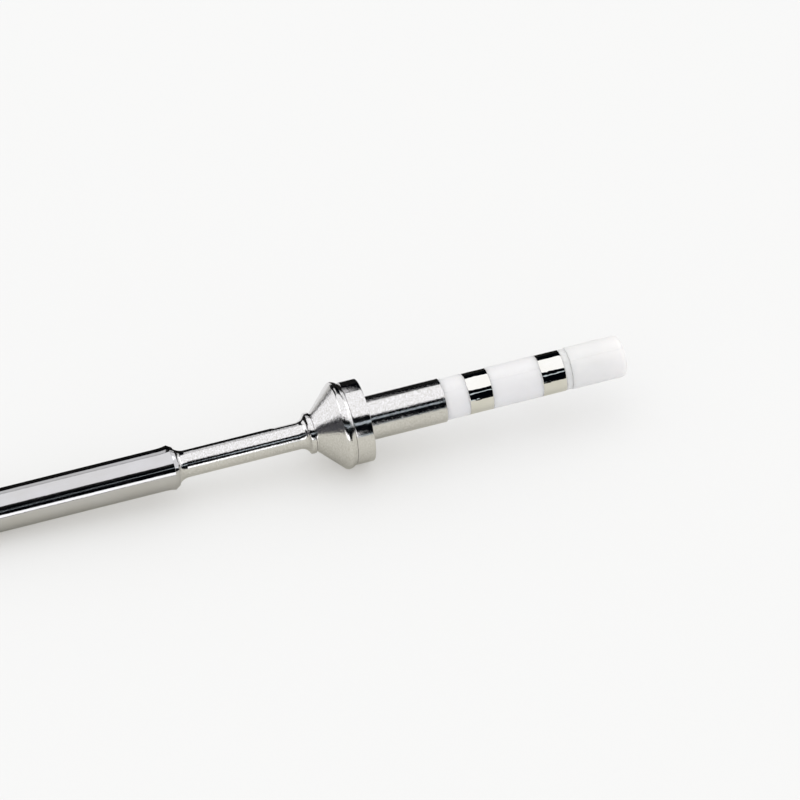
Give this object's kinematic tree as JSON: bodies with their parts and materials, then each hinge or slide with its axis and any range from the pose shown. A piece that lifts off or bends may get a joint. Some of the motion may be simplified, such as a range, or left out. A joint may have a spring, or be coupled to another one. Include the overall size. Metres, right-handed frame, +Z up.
{
  "type": "soldering iron tip",
  "caption": "Cartridge soldering iron tip: long chrome bit, thin steel neck, cone flange with a stop collar, and a plug end with metal contact rings between white insulators.",
  "frame": {"origin": "on the surface that the tip lies on, under the middle of its length", "axes": "+Z up, with the tip lying at rest on its flange rim and on the front of its barrel; +X from the point to the plug end, which is the higher one"},
  "size_m": [0.105, 0.011, 0.011],
  "materials": {
    "chrome_plate": "mirror plated",
    "contact_plate": "mirror plated",
    "satin_steel": "turned, satin",
    "white_plastic": "moulded, soft gloss",
    "cap_plastic": "moulded, matte",
    "heater_ceramic": "unglazed",
    "resistance_wire": "oxidised",
    "lead_wire": "bright drawn"
  },
  "bodies": {
    "root": {"soldering_bit": "chrome_plate", "neck_sleeve": "satin_steel", "cone_flange": "satin_steel", "stop_collar": "satin_steel", "shank_tube": "satin_steel", "insulator_stem": "white_plastic", "front_insulator": "white_plastic", "front_contact_ring": "contact_plate", "middle_insulator": "white_plastic", "rear_contact_ring": "contact_plate", "rear_washer": "white_plastic", "end_cap": "cap_plastic", "heater_sleeve": "heater_ceramic", "heater_core": "heater_ceramic", "heater_coil": "resistance_wire", "thermocouple_bead": "resistance_wire", "heater_end_plug": "heater_ceramic", "lead_insulator": "heater_ceramic", "coil_weld": "resistance_wire", "centre_lead": "lead_wire", "side_lead": "lead_wire", "rear_ring_weld": "lead_wire", "front_ring_weld": "lead_wire"}
  },
  "joints": []
}
